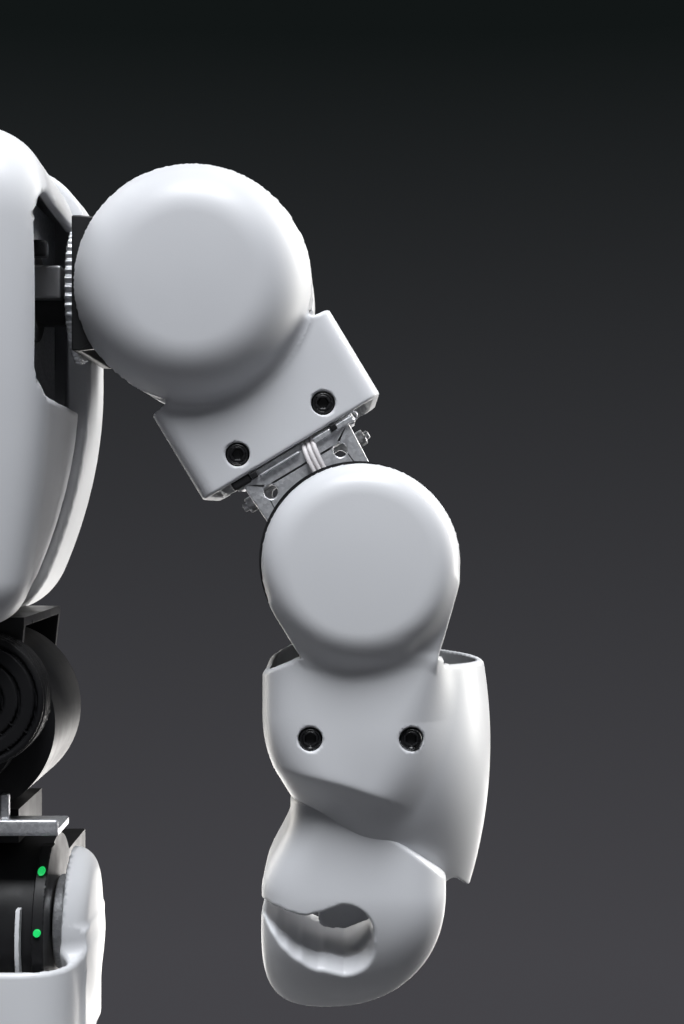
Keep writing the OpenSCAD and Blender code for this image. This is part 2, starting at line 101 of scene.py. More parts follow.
class Shader:
    """A material's node tree, with short names for the nodes used here."""

    def __init__(self, name, **sockets):
        self.material = bpy.data.materials.new(name)
        self.material.use_nodes = True
        self.tree = self.material.node_tree
        self.shader = self.tree.nodes["Principled BSDF"]
        for socket, value in sockets.items():
            self.shader.inputs[socket.replace("_", " ")].default_value = value
        self.place = self.tree.nodes.new("ShaderNodeTexCoord").outputs["Object"]

    def node(self, kind, inputs, output=0, **settings):
        made = self.tree.nodes.new(kind)
        for key, value in settings.items():
            setattr(made, key, value)
        for key, value in inputs.items():
            if isinstance(value, bpy.types.NodeSocket):
                self.tree.links.new(value, made.inputs[key])
            else:
                made.inputs[key].default_value = value
        return made.outputs[output]

    def noise(self, scale, detail=2.0, rough=0.5):
        return self.node("ShaderNodeTexNoise",
                         {"Vector": self.place, "Scale": scale, "Detail": detail, "Roughness": rough})

    def ramp(self, value, low, high, out_low, out_high):
        return self.node("ShaderNodeMapRange", {"Value": value, "From Min": low, "From Max": high,
                                                "To Min": out_low, "To Max": out_high})

    def mix(self, factor, a, b):
        made = self.tree.nodes.new("ShaderNodeMix")
        made.data_type = "RGBA"
        for socket, value in ((0, factor), (6, a), (7, b)):
            if isinstance(value, bpy.types.NodeSocket):
                self.tree.links.new(value, made.inputs[socket])
            else:
                made.inputs[socket].default_value = value
        return made.outputs[2]

    def link(self, output, socket):
        self.tree.links.new(output, self.shader.inputs[socket])

    def bump(self, height, distance, strength=1.0):
        bumped = self.node("ShaderNodeBump", {"Height": height, "Distance": distance, "Strength": strength})
        self.link(bumped, "Normal")


def rgb(red, green, blue):
    return (red, green, blue, 1.0)


def moulded_plastic(name, light, dark, rough=0.42, grain=0.000012):
    """A matt moulding with faint clouding, smudges and a fine grain."""
    made = Shader(name, Specular_IOR_Level=0.5, Roughness=rough)
    cloud = made.noise(18.0, 3.0)
    fine = made.noise(2600.0, 2.0)
    smudge = made.noise(70.0, 4.0, 0.6)
    made.link(made.mix(made.ramp(cloud, 0.35, 0.65, 0.0, 1.0), rgb(*light), rgb(*dark)), "Base Color")
    made.link(made.ramp(smudge, 0.35, 0.7, rough - 0.05, rough + 0.07), "Roughness")
    made.bump(fine, grain, 0.6)
    return made.material


def plated_sheet(name, light, dark, rough, flake_scale):
    """Bright plated steel with small, faint crystals."""
    made = Shader(name, Metallic=0.75)
    flakes = made.node("ShaderNodeTexVoronoi", {"Vector": made.place, "Scale": flake_scale}, "Color")
    value = made.node("ShaderNodeSeparateColor", {"Color": flakes})
    cloud = made.noise(900.0, 4.0, 0.7)
    made.link(made.mix(made.ramp(value, 0.0, 1.0, 0.0, 0.7), rgb(*light), rgb(*dark)), "Base Color")
    made.link(made.ramp(cloud, 0.3, 0.7, rough - 0.08, rough + 0.10), "Roughness")
    made.bump(made.node("ShaderNodeMath", {0: value, 1: cloud}, operation="ADD"), 0.000012, 0.5)
    return made.material


def coated_metal(name, colour, rough, grain_scale=1800.0, grain=0.00002, metallic=0.0):
    """A coated, cast or dark surface with a fine grain."""
    made = Shader(name, Metallic=metallic, Specular_IOR_Level=0.35)
    made.link(made.mix(made.ramp(made.noise(60.0), 0.3, 0.7, 0.0, 1.0), rgb(*colour),
                       rgb(*(c * 1.5 + 0.004 for c in colour))), "Base Color")
    made.link(made.ramp(made.noise(140.0, 4.0), 0.3, 0.7, rough - 0.06, rough + 0.08), "Roughness")
    made.bump(made.noise(grain_scale, 3.0), grain, 0.7)
    return made.material


def glowing(name, colour, strength):
    """A small light seen through a coloured lens."""
    made = Shader(name, Roughness=0.3)
    dim = rgb(*(c * 0.5 for c in colour))
    made.link(made.mix(made.ramp(made.noise(300.0), 0.3, 0.7, 0.0, 1.0), rgb(*colour), dim), "Base Color")
    made.shader.inputs["Emission Color"].default_value = rgb(*colour)
    made.shader.inputs["Emission Strength"].default_value = strength
    made.bump(made.noise(900.0), 0.00001, 0.3)
    return made.material


WHITE = moulded_plastic("white_moulding", (0.72, 0.73, 0.755), (0.66, 0.67, 0.70))
GREY = moulded_plastic("grey_moulding", (0.24, 0.24, 0.25), (0.19, 0.19, 0.20), 0.5)
WIRE = moulded_plastic("wire_insulation", (0.78, 0.75, 0.76), (0.70, 0.67, 0.68), 0.45)
BLACK = coated_metal("servo_case", (0.007, 0.007, 0.008), 0.42)
BLACK_SHEET = coated_metal("black_coated_sheet", (0.012, 0.012, 0.013), 0.33)
RUBBER = coated_metal("sole_rubber", (0.018, 0.018, 0.019), 0.62, 900.0, 0.00006)
BOARD = coated_metal("circuit_board", (0.010, 0.075, 0.028), 0.35, 500.0, 0.00003)
ZINC = plated_sheet("zinc_sheet", (0.86, 0.87, 0.90), (0.55, 0.56, 0.59), 0.36, 1900.0)
CAST = coated_metal("cast_aluminium", (0.34, 0.34, 0.35), 0.42, 1200.0, 0.00004, 1.0)
SCREW = coated_metal("black_screw", (0.008, 0.008, 0.009), 0.30, 900.0, 0.00002)
STEEL = coated_metal("steel_screw", (0.52, 0.52, 0.54), 0.28, 900.0, 0.00001, 1.0)
VISOR = coated_metal("smoked_visor", (0.006, 0.006, 0.008), 0.08, 300.0, 0.000002)
LENS = coated_metal("lens", (0.10, 0.15, 0.18), 0.10, 300.0, 0.000002)
GREEN_LIGHT = glowing("green_light", (0.01, 0.45, 0.10), 1.1)

NODE_MATERIALS = {
    "white_plastic": WHITE, "grey_plastic": GREY, "black_plastic": BLACK, "servo_black": BLACK,
    "black_sheet": BLACK_SHEET, "zinc_sheet": ZINC, "screw_black": SCREW, "screw_steel": STEEL, "wire": WIRE,
    "board": BOARD, "visor": VISOR, "lens": LENS, "foot_rubber": RUBBER}
BEVEL_MM = {"servo_black": 0.8, "black_sheet": 0.35, "zinc_sheet": 0.3, "black_plastic": 0.8, "board": 0.15,
            "grey_plastic": 0.4, "foot_rubber": 0.8, "lens": 0.4, "visor": 0.5}

# ---------- distance fields ----------


def join(a, b, k):
    """Both solids, with a concave fillet between them where they come within k of each other."""
    h = np.maximum(k - np.abs(a - b), 0) / k
    return np.minimum(a, b) - h * h * k / 4


def meet(a, b, k):
    """Where the solids overlap, with the edge between them rounded."""
    return -join(-a, -b, k)


def cut(a, b, k=0.4):
    """The first solid without the second."""
    return -join(-a, b, k)


def box(p, centre, half, radius):
    """A box with rounded edges."""
    q = [np.abs(v - c) - (h - radius) for v, c, h in zip(p, centre, half)]
    outside = np.sqrt(sum(np.maximum(v, 0) ** 2 for v in q))
    return outside + np.minimum(np.maximum(np.maximum(q[0], q[1]), q[2]), 0) - radius


def span(v, low, high):
    """Between two planes."""
    return np.abs(v - (low + high) / 2) - (high - low) / 2


def round_cone(u, v, start, start_r, end, end_r):
    """A tapered capsule in two dimensions."""
    du, dv = end[0] - start[0], end[1] - start[1]
    t = np.clip(((u - start[0]) * du + (v - start[1]) * dv) / (du * du + dv * dv), 0, 1)
    return np.hypot(u - start[0] - t * du, v - start[1] - t * dv) - (start_r + t * (end_r - start_r))


def grid_values(field, low, high, cell):
    """The field at the points of a grid."""
    axes = [l + cell * np.arange(int(math.ceil((h - l) / cell)) + 1) for l, h in zip(low, high)]
    return field(np.meshgrid(*axes, indexing="ij"))


def gradient(field, p, step=0.05):
    """The field's slope at each point, from values a step to either side."""
    parts = []
    for axis in range(3):
        up, down = [v.copy() for v in p], [v.copy() for v in p]
        up[axis] += step
        down[axis] -= step
        parts.append((field(up) - field(down)) / (2 * step))
    return np.array(parts)


def surface(field, low, high, cell):
    """Vertices, outward normals and quads of a field's zero surface, by naive surface nets."""
    value = grid_values(field, low, high, cell)
    inside = value < 0
    corners = [(i, j, k) for i in (0, 1) for j in (0, 1) for k in (0, 1)]
    shape = tuple(n - 1 for n in value.shape)

    def corner(array, c):
        return array[c[0]:c[0] + shape[0], c[1]:c[1] + shape[1], c[2]:c[2] + shape[2]]

    count = sum(corner(inside, c).astype(np.int8) for c in corners)
    active = (count > 0) & (count < 8)
    number = np.full(shape, -1, dtype=np.int64)
    number[active] = np.arange(int(active.sum()))
    cells = np.argwhere(active).astype(float)
    total = np.zeros((len(cells), 3))
    crossings = np.zeros(len(cells))
    for a in corners:
        for axis in range(3):
            if a[axis]:
                continue
            b = tuple(1 if n == axis else v for n, v in enumerate(a))
            va, vb = corner(value, a)[active], corner(value, b)[active]
            crossed = (va < 0) != (vb < 0)
            t = np.where(crossed, va / np.where(va == vb, 1.0, va - vb), 0)
            point = np.tile(np.array(a, dtype=float), (len(cells), 1))
            point[:, axis] += t
            total[crossed] += point[crossed]
            crossings[crossed] += 1
    p = ((cells + total / crossings[:, None]) * cell + np.array(low)).T
    for _ in range(4):
        slope = gradient(field, list(p))
        move = field(list(p)) * slope / np.maximum((slope ** 2).sum(0), 0.2)
        p = p - np.clip(move, -cell / 2, cell / 2)
    quads = []
    for axis in range(3):
        u, v = (axis + 1) % 3, (axis + 2) % 3
        first, second = [slice(None)] * 3, [slice(None)] * 3
        first[axis], second[axis] = slice(0, -1), slice(1, None)
        crossed = inside[tuple(first)] != inside[tuple(second)]
        spots = np.argwhere(crossed)
        spots = spots[(spots[:, u] > 0) & (spots[:, v] > 0)
                      & (spots[:, u] < value.shape[u] - 1) & (spots[:, v] < value.shape[v] - 1)]
        around = []
        for du, dv in ((1, 1), (0, 1), (0, 0), (1, 0)):
            shifted = spots.copy()
            shifted[:, u] -= du
            shifted[:, v] -= dv
            around.append(number[shifted[:, 0], shifted[:, 1], shifted[:, 2]])
        quad = np.stack(around, axis=1)
        flip = ~inside[spots[:, 0], spots[:, 1], spots[:, 2]]
        quad[flip] = quad[flip][:, ::-1]
        quads.append(quad)
    slope = gradient(field, list(p))
    normals = (slope / np.maximum(np.linalg.norm(slope, axis=0), 1e-9)).T
    return p.T, normals, np.concatenate(quads)


def tilted_frame(origin, tilt):
    """World placement, in millimetres, of a frame turned outwards about Y."""
    return Matrix.Translation(Vector(origin)) @ Matrix.Rotation(-tilt, 4, "Y")


def moulding(name, parts, body, nodes, place, material):
    """Makes one moulding from (vertices, normals, quads) in millimetres, rides it and hides its CAD nodes."""
    points, normals, quads = parts
    turn = np.array(place.to_3x3())
    world = (points @ turn.T + np.array(place.translation)) * MM
    world_normals = normals @ turn.T
    if place.to_3x3().determinant() < 0:
        quads = quads[:, ::-1]
    mesh = bpy.data.meshes.new(name)
    mesh.vertices.add(len(world))
    mesh.vertices.foreach_set("co", world.ravel())
    mesh.loops.add(quads.size)
    mesh.loops.foreach_set("vertex_index", quads.ravel().astype(np.int32))
    mesh.polygons.add(len(quads))
    mesh.polygons.foreach_set("loop_start", np.arange(0, quads.size, 4, dtype=np.int32))
    mesh.update(calc_edges=True)
    mesh.validate()
    mesh.polygons.foreach_set("use_smooth", np.ones(len(mesh.polygons), dtype=bool))
    if len(mesh.vertices) == len(world):
        mesh.normals_split_custom_set_from_vertices(world_normals.tolist())
    piece = bpy.data.objects.new(name, mesh)
    bpy.context.scene.collection.objects.link(piece)
    mesh.materials.append(material)
    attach(piece, body)
    if nodes:
        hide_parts(*nodes)
    return piece


WORLD = Matrix.Identity(4)
MIRROR = Matrix.Diagonal((-1, 1, 1, 1))


def mirrored(name, parts, body, nodes, place, material):
    """A left piece and its mirror image; every body named here but the torso has a left and a right."""
    for side, turn in (("left", WORLD), ("right", MIRROR)):
        owner = body if body == "torso" else f"{body}_{side}"
        moulding(f"{name}_{side}", parts, owner, [f"{node}_{side}" for node in nodes], turn @ place,
                 material)


def both_sides(name, field, low, high, cell, body, nodes, place, material=WHITE):
    """A field's surface as a left piece and its mirror image."""
    mirrored(name, surface(field, low, high, cell), body, nodes, place, material)


# ---------- arm mouldings ----------

# the upper arm cover, from its shoulder axis: half widths, ends and the disc over the servo
COVER_FRONT = 20.6
COVER_W = 19.1
COVER_IN = 17.3
COVER_TOP = -16.8
COVER_BOTTOM = -35.4
UPPER_DISC_R = 21.9
UPPER_DISC_BACK = 19.7
UPPER_DISC_FRONT = 28.6
RIM_REACH = 7.0
# the forearm cover, from its elbow axis
FORE_FRONT = 23.9
FORE_DISC_R = 18.2
FORE_DISC_BACK = 22.6
FORE_DISC_FRONT = 29.2
FORE_RIM = -16.8
FORE_HOLLOW_LOW = -43.5
FORE_WALL = 1.4
# the screws of both covers
SCREW_SIDE = 9.15
UPPER_SCREW_Z = -31.4
FORE_SCREW_Z = -32.0
RECESS_R = 2.2
RECESS_DEPTH = 2.2
# both halves of a cover stop this far short of their parting plane
PARTING = 0.12


def disc(p, radius, back, front, edge, taper):
    """A round, slightly domed disc facing -Y, whose side narrows towards its face."""
    x, y, z = p
    rho = np.hypot(x, z)
    side = (rho - radius + taper * np.maximum(-y - back, 0)) / math.hypot(1, taper)
    face = meet(side, -y - front + rho ** 2 * 0.0022, edge)
    return np.maximum(face, y + back)


def screw_recesses(p, down, bottom):
    """The two round recesses of a cover's face."""
    x, y, z = p
    rho = np.hypot(np.abs(x) - SCREW_SIDE, z - down)
    return rho - RECESS_R + np.maximum(y + bottom, 0)


def upper_arm_field(p):
    """The front cover: a box below the shoulder and a round disc over the servo."""
    x, y, z = p
    side = np.abs(x) - COVER_W
    front = -y - COVER_FRONT + 0.0016 * x ** 2
    ends = span(z, COVER_BOTTOM, COVER_TOP)
    body = meet(meet(side, front, 3.6), ends, 0.7)
    rho = np.hypot(x, z)
    # the rim reaches back over the servo, except where the shoulder yoke swings
    along = x * 0.17 - z * 0.98
    rim = UPPER_DISC_R - 0.02 * np.maximum(9 - along, 0) ** 2
    wall = np.maximum(np.maximum(rho - rim, 17.4 - rho), np.maximum(y + RIM_REACH, -y - 19.6))
    wall = np.maximum(wall, 2.5 - 0.17 * x - along)
    solid = join(disc(p, UPPER_DISC_R, UPPER_DISC_BACK, UPPER_DISC_FRONT, 5.5, 0.5), wall, 0.4)
    solid = join(solid, body, 2.0)
    hollow = meet(np.abs(x) - COVER_IN, -y - COVER_FRONT + 1.5, 3.0)
    hollow = np.minimum(hollow, np.maximum(rho - COVER_IN, -y - UPPER_DISC_BACK + 0.05))
    # above the box only the servo's round end is cleared
    hollow = np.maximum(hollow, np.where(z > COVER_TOP + 1.5, rho - COVER_IN, -50.0))
    solid = cut(solid, hollow, 0.3)
    solid = cut(solid, screw_recesses(p, UPPER_SCREW_Z, COVER_FRONT - RECESS_DEPTH), 0.35)
    return meet(solid, y + PARTING, 0.3)


def forearm_seam(x):
    """Height of the line between the forearm cover and the hand."""
    return -44.2 - 0.10 * (x + 13) - 0.0137 * (x + 13) ** 2


def forearm_solid(p, inset):
    """The outer shape of the forearm, or its hollow: a flat-fronted core with a rounder muscle outboard."""
    x, y, z = p
    crease = -38.3 - 0.09 * (x + 14.7) - 0.0083 * (x + 14.7) ** 2
    below = crease - z
    recede = 0.95 * (below + np.sqrt(below ** 2 + 0.35)) / 2
    front = (-y - FORE_FRONT + 0.0008 * x ** 2 + recede) * 0.85 + inset
    left = meet(-x - 18.3, -(x + 17.3) * 0.897 - (z + 36.3) * 0.443, 2.5) + inset
    right = x - (15.2 - 0.0113 * (z + 20) ** 2) + inset
    corner = np.clip(3.5 + 0.5 * (-18 - z), 3.5, 9.0) - inset
    core = meet(meet(left, front, 9.0 - inset), right, corner)
    core = np.maximum(core, y - 5)
    reach = 20.6 - 0.0052 * (z + 35.8) ** 2
    u, v = (x - 5) / reach, (y - 1) / (24.0 - 0.012 * (z + 30) ** 2 * (z < -30))
    bulge = (np.sqrt(u ** 2 + v ** 2) - 1) * 21.5 + inset
    bulge = np.maximum(bulge, -x - 8)
    return join(core, bulge, 3.2)


def forearm_neck(x, z, radius):
    """The outline of the neck: its sides run from the disc, at 31 and 15 degrees, down to the cover's rim."""
    left = -0.857 * x - 0.515 * z - radius
    right = 0.966 * x - 0.259 * z - radius
    return np.maximum(np.maximum(left, right), z + 7 - 0.13 * x)


def forearm_field(p):
    """The front cover of the forearm, with its neck and the round disc over the elbow servo."""
    x, y, z = p
    shell = forearm_solid(p, 0.0)
    rim = FORE_RIM - 0.45 * np.maximum(-x - 10.5, 0) - 1.3 * np.clip(x - 14.7, 0, 1.6)
    rim = np.where(y < -21, rim, np.minimum(rim, -18.6) - 0.03 * (y + 21))
    shell = meet(shell, z - rim, 0.9)
    lower = join(forearm_seam(x) + 0.1 - z, -59.4 - 0.55 * (20 - x) - z, 1.5)
    shell = meet(shell, lower, 0.8)
    # the neck's plate fades into the cover's face below the rim
    outline = forearm_neck(x, z, FORE_DISC_R)
    plate = -y - FORE_FRONT + 0.0008 * x ** 2 + 0.15 * np.maximum(-17.5 - z, 0) ** 2
    plate = meet(outline, np.maximum(plate, y + FORE_DISC_BACK), 0.7)
    face = disc(p, FORE_DISC_R, FORE_DISC_BACK, FORE_DISC_FRONT, 4.5, 0.2)
    front = join(face, join(shell, plate, 0.8), 4.0)
    # the fillets stay inside the outline of the disc and neck
    limit = np.minimum(np.minimum(np.hypot(x, z) - FORE_DISC_R, outline), z + 17.2)
    proud = y < -FORE_DISC_BACK - 0.3
    solid = np.where(proud, meet(front, limit, 0.4), np.maximum(front, limit - 0.3))
    solid = np.minimum(solid, shell)
    inner = meet(forearm_solid(p, FORE_WALL), FORE_HOLLOW_LOW - z, 1.0)
    inner = np.minimum(inner, np.maximum(-17.0 - z, -y - FORE_DISC_BACK + 0.05))
    solid = cut(solid, inner, 0.4)
    solid = cut(solid, screw_recesses(p, FORE_SCREW_Z, FORE_FRONT - RECESS_DEPTH), 0.35)
    return meet(solid, y + PARTING, 0.3)


# x, z and radius along the opening, from the round grip to the slot's outer end
SLOT_PATH = ((-3.3, -69.2, 5.8), (-7.3, -69.3, 4.4), (-10.5, -68.7, 3.1), (-13.0, -67.5, 2.4),
             (-15.5, -66.0, 1.7), (-17.6, -64.9, 1.15), (-22.0, -65.8, 1.0))


def hand_opening(x, z):
    """The round grip and the slot that leads into it from the inner side."""
    hole = np.full(x.shape, 50.0)
    for a, b in zip(SLOT_PATH, SLOT_PATH[1:]):
        hole = join(hole, round_cone(x, z, a[:2], a[2], b[:2], b[2]), 0.5)
    return hole


HAND_WIDEST = -62.0
HAND_RIGHT = 16.3
HAND_HALF = 17.45
HAND_HALF_DEPTH = 18.2
HAND_DROP = 25.4


def hand_field(p):
    """The closed fist: it widens below the wrist, then rounds off, and its faces lean in at both ends."""
    x, y, z = p
    low = np.maximum(HAND_WIDEST - z, 0)
    t = np.clip((HAND_WIDEST + 15 - z) / 15, 0, 1)
    left = -13.2 - 5.4 * t * t * (3 - 2 * t)
    above = z > HAND_WIDEST
    middle = np.where(above, (left + HAND_RIGHT) / 2, -1.15 - 0.0085 * low ** 2)
    half = np.where(above, (HAND_RIGHT - left) / 2, HAND_HALF)
    round_part = (np.abs(x - middle) / half) ** 2.5 + (low / HAND_DROP) ** 2.5
    outline = (round_part ** 0.4 - 1) * 15
    up = z - HAND_WIDEST
    depth = np.abs(y) - HAND_HALF_DEPTH + 0.017 * low ** 2 + 0.035 * (up + np.sqrt(up ** 2 + 9))
    body = meet(outline, depth * 0.95, 8.0)
    body = meet(body, z - forearm_seam(x) + 0.22, 1.0)
    # near the front face the opening's lower edge slopes down
    ledge = np.where(y < 0, np.clip(4.4 + depth, 0, 4.6) * 0.62, 0)
    hole = np.minimum(hand_opening(x, z), hand_opening(x, z + ledge))
    return cut(body, hole, 0.7)


upper_arm_place = tilted_frame(SHOULDER, ARM_TILT)
forearm_place = tilted_frame(ELBOW, 0.0)
FLIP_Y = Matrix.Diagonal((1, -1, 1, 1))

both_sides("upper_arm_front", upper_arm_field, (-23, -30, -37), (23, 1, 23), 0.5, "upper_arm",
           ["upper_arm_front_cover"], upper_arm_place)
both_sides("upper_arm_rear", upper_arm_field, (-23, -30, -37), (23, 1, 23), 0.7, "upper_arm",
           ["upper_arm_rear_cover"], upper_arm_place @ FLIP_Y)
both_sides("forearm_front", forearm_field, (-22, -31, -72), (30, 1, 20), 0.5, "forearm",
           ["forearm_front_cover"], forearm_place)
both_sides("forearm_rear", forearm_field, (-22, -31, -72), (30, 1, 20), 0.7, "forearm",
           ["forearm_rear_cover"], forearm_place @ FLIP_Y)
both_sides("fist", hand_field, (-23, -21, -92), (20, 21, -40), 0.5, "forearm", ["hand"], forearm_place)

# ---------- arm details ----------


def sockets_field(front, down):
    """Four recessed socket screws, two in each half of a cover whose face is at the given front."""
    def field(p):
        x, y, z = p
        u, v, w = np.abs(x) - SCREW_SIDE, z - down, np.abs(y)
        rho = np.hypot(u, v)
        head = meet(rho - 1.95, span(w, front - 1.8, front - 0.35), 0.5)
        angle = np.mod(np.arctan2(v, u) + math.pi / 6, math.pi / 3) - math.pi / 6
        socket = np.maximum(rho * np.cos(angle) - 0.95, front - 1.3 - w)
        head = cut(head, socket, 0.15)
        head = cut(head, np.maximum(np.abs(rho - 1.5) - 0.06, front - 0.55 - w), 0.1)
        return np.minimum(head, np.maximum(rho - 1.1, span(w, 10.6, front - 1.7)))
    return field


both_sides("upper_sockets", sockets_field(COVER_FRONT, UPPER_SCREW_Z), (-12, -21, -34), (12, 21, -29), 0.22,
           "upper_arm", ["upper_arm_screws"], upper_arm_place, SCREW)
both_sides("forearm_sockets", sockets_field(FORE_FRONT, FORE_SCREW_Z), (-12, -24.5, -34.5), (12, 24.5, -29.5),
           0.22, "forearm", ["forearm_screws"], forearm_place, SCREW)


def tube_parts(path, radius, sides=10):
    """Vertices, normals and quads of a tube along a smooth path of points."""
    knots = np.array(path, dtype=float)
    fine = []
    for n in range(len(knots) - 1):
        before, a, b, after = (knots[max(0, min(len(knots) - 1, m))] for m in (n - 1, n, n + 1, n + 2))
        for t in np.linspace(0, 1, 7)[:-1]:
            fine.append(0.5 * (2 * a + (b - before) * t + (2 * before - 5 * a + 4 * b - after) * t ** 2
                               + (3 * a - before - 3 * b + after) * t ** 3))
    fine.append(knots[-1])
    line = np.array(fine)
    ahead = np.gradient(line, axis=0)
    ahead /= np.linalg.norm(ahead, axis=1)[:, None]
    first = np.cross(ahead, (0.3, 1.0, 0.2))
    first /= np.linalg.norm(first, axis=1)[:, None]
    second = np.cross(ahead, first)
    points, normals, quads = [], [], []
    for n in range(len(line)):
        for m in range(sides):
            turn = 2 * math.pi * m / sides
            out = first[n] * math.cos(turn) + second[n] * math.sin(turn)
            points.append(line[n] + out * radius)
            normals.append(out)
            if n + 1 < len(line):
                a, b = n * sides + m, n * sides + (m + 1) % sides
                quads.append((a, b, b + sides, a + sides))
    return np.array(points), np.array(normals), np.array(quads)


def merged(parts):
    """Several (vertices, normals, quads) sets as one."""
    points, normals, quads, start = [], [], [], 0
    for p, n, q in parts:
        points.append(p)
        normals.append(n)
        quads.append(q + start)
        start += len(p)
    return np.concatenate(points), np.concatenate(normals), np.concatenate(quads)


# the middle wire's points, each with the wires' spacing there
WIRE_PATH = ((3.5, -16.6, -34.0, 0.85), (3.0, -19.0, -36.2, 0.95), (2.5, -20.2, -38.5, 0.98),
             (2.1, -20.3, -43.0, 0.95), (1.8, -20.2, -48.0, 0.9))
WIRE_R = 0.46
WIRES = [tube_parts([(x + apart * n, y, z) for x, y, z, apart in WIRE_PATH], WIRE_R) for n in (-1, 0, 1)]
mirrored("cable", merged(WIRES), "upper_arm", ["elbow_cable"], upper_arm_place, WIRE)


def channel_field(p):
    """The metal channel under the upper arm cover, with its end clips and side bolts."""
    x, y, z = p
    left_bar = box(p, (-3.4, -19.5, -36.9), (4.2, 0.5, 0.28), 0.15)
    tray = box(p, (0, -17.2, -36.4), (12.6, 0.6, 1.0), 0.2)
    right_bars = np.minimum(box(p, (5.9, -19.2, -36.5), (1.9, 0.8, 0.55), 0.2),
                            box(p, (10.5, -19.2, -36.5), (1.9, 0.8, 0.55), 0.2))
    loop = np.hypot(np.hypot(x - 12.6, z + 36.2) - 0.8, y + 19.6) - 0.22
    bolts = np.maximum(np.hypot(y + 9, z + 40.2) - 1.5, span(np.abs(x), 11.4, 12.9))
    bolts = np.minimum(bolts, np.maximum(np.hypot(y + 9, z + 40.2) - 0.8, span(np.abs(x), 11.4, 13.8)))
    return np.minimum.reduce([left_bar, tray, right_bars, loop, bolts])


both_sides("channel", channel_field, (-15, -21, -43), (15, -6, -34), 0.3, "upper_arm", [], upper_arm_place,
           ZINC)


def channel_black_field(p):
    """The black clips and end stop of the channel."""
    x, y, z = p
    squares = box((np.abs(x), y, z), (8.5, -19.9, -36.2), (0.6, 0.6, 0.6), 0.15)
    end = box(p, (-11.2, -18.6, -36.1), (1.9, 1.2, 0.9), 0.5)
    return np.minimum(squares, end)


both_sides("channel_black", channel_black_field, (-14, -21.5, -38), (10, -16, -34), 0.25, "upper_arm", [],
           upper_arm_place, BLACK)

# ---------- torso mouldings ----------

SEAM_Y = 11.0
TORSO_TOP = 371.5
TORSO_BOTTOM = 278.6
CHEST_HALF, CHEST_FACE, CHEST_WALL = 58.0, 42.5, 2.0
BACK_HALF, BACK_FACE, BACK_WALL = 58.6, 38.0, 2.2
BACK_SCREWS = ((30, 363.5), (36, 300))
BUTTON_Z = 335.0
LEG_HOLE_X = 39.0


def torso_body(p, rear):
    """The solid shape of the chest, or of the back, which is a little wider."""
    x, y, z = p
    below = np.maximum(326 - z, 0) ** 2
    if rear:
        side = np.abs(x) - (BACK_HALF - 0.0055 * below)
        face = y - BACK_FACE + 0.0006 * x ** 2 + 0.0004 * (z - 322) ** 2
    else:
        side = np.abs(x) - (CHEST_HALF - 0.0026 * below - (1.6 + 0.003 * below) * (y + 28) / 39)
        face = -y - CHEST_FACE + 0.0010 * x ** 2 + 0.0010 * (z - 335) ** 2
    top = z - TORSO_TOP + 0.0006 * x ** 2
    if rear:
        return meet(meet(meet(side, top, 19.0), TORSO_BOTTOM - z, 9.0), face, 8.0)
    return meet(meet(meet(side, face, 9.0), top, 19.0), TORSO_BOTTOM - z, 9.0)


def flat_rect(u, v, centre, half, radius):
    """A rounded rectangle in two dimensions."""
    q = [np.abs(w - c) - (h - radius) for w, c, h in zip((u, v), centre, half)]
    outside = np.hypot(np.maximum(q[0], 0), np.maximum(q[1], 0))
    return outside + np.minimum(np.maximum(q[0], q[1]), 0) - radius


def torso_holes(p):
    """The holes that the hip and neck shafts pass through."""
    x, y, z = p
    leg = np.maximum(np.hypot(np.abs(x) - LEG_HOLE_X, y) - 7, z - 290)
    neck = np.maximum(np.hypot(x, y) - 7, 360 - z)
    return np.minimum(leg, neck)


def chest_field(p):
    """The front shell, with an opening for each arm."""
    x, y, z = p
    body = torso_body(p, False)
    shell = cut(body, body + CHEST_WALL, 0.3)
    opening = np.maximum(flat_rect(y, z, (-3.2, 337.8), (33.0, 18.1), 5.5), 44 - np.abs(x))
    shell = cut(shell, np.minimum(opening, torso_holes(p)), 0.8)
    return meet(shell, y - SEAM_Y, 0.5)


def back_field(p):
    """The rear shell, thicker along its front edge below the shoulders, with two grooves and screw holes."""
    x, y, z = p
    body = torso_body(p, True)
    lip = 0.9 * np.maximum(SEAM_Y + 4 - y, 0) * (z < 345)
    shell = cut(body, body + BACK_WALL + lip, 0.3)
    groove = np.abs(np.abs(x) - 22) + 3 * np.maximum(np.abs(z - 322) - 22, 0) - 0.5
    shell = cut(shell, np.maximum(groove, -0.7 - body), 0.3)
    holes = torso_holes(p)
    for sx, sz in BACK_SCREWS:
        holes = np.minimum(holes, np.maximum(np.hypot(np.abs(x) - sx, z - sz) - 2.3, 20 - y))
    holes = np.minimum(holes, np.maximum(np.hypot(x, z - BUTTON_Z) - 4.4, 20 - y))
    shell = cut(shell, holes, 0.4)
    return meet(shell, SEAM_Y + 0.2 - y, 0.7)


moulding("chest", surface(chest_field, (-61, -44, 277), (61, 13, 373), 1.0), "torso", ["chest_shell"],
         WORLD, WHITE)
moulding("back", surface(back_field, (-62, 9, 277), (62, 41, 373), 1.0), "torso", ["back_shell"], WORLD,
         WHITE)

# ---------- head mouldings ----------

EYE_Z = NECK_TILT[2] + 29
HEAD_MIDDLE = 420.0
HEAD_HALF = (42.0, 38.0, 35.0)
HEAD_POWER = 2.8
HEAD_WALL = 2.0


def head_body(p, inset):
    """A rounded block, a little narrower towards the neck."""
    x, y, z = p
    half = [size - inset for size in HEAD_HALF]
    v = (z - HEAD_MIDDLE) / half[2]
    waist = 1 - 0.08 * np.clip(-v, 0, 1)
    sides = np.abs(x) / (half[0] * waist), np.abs(y) / half[1], np.abs(v)
    return (sum(side ** HEAD_POWER for side in sides) ** (1 / HEAD_POWER) - 1) * min(half)


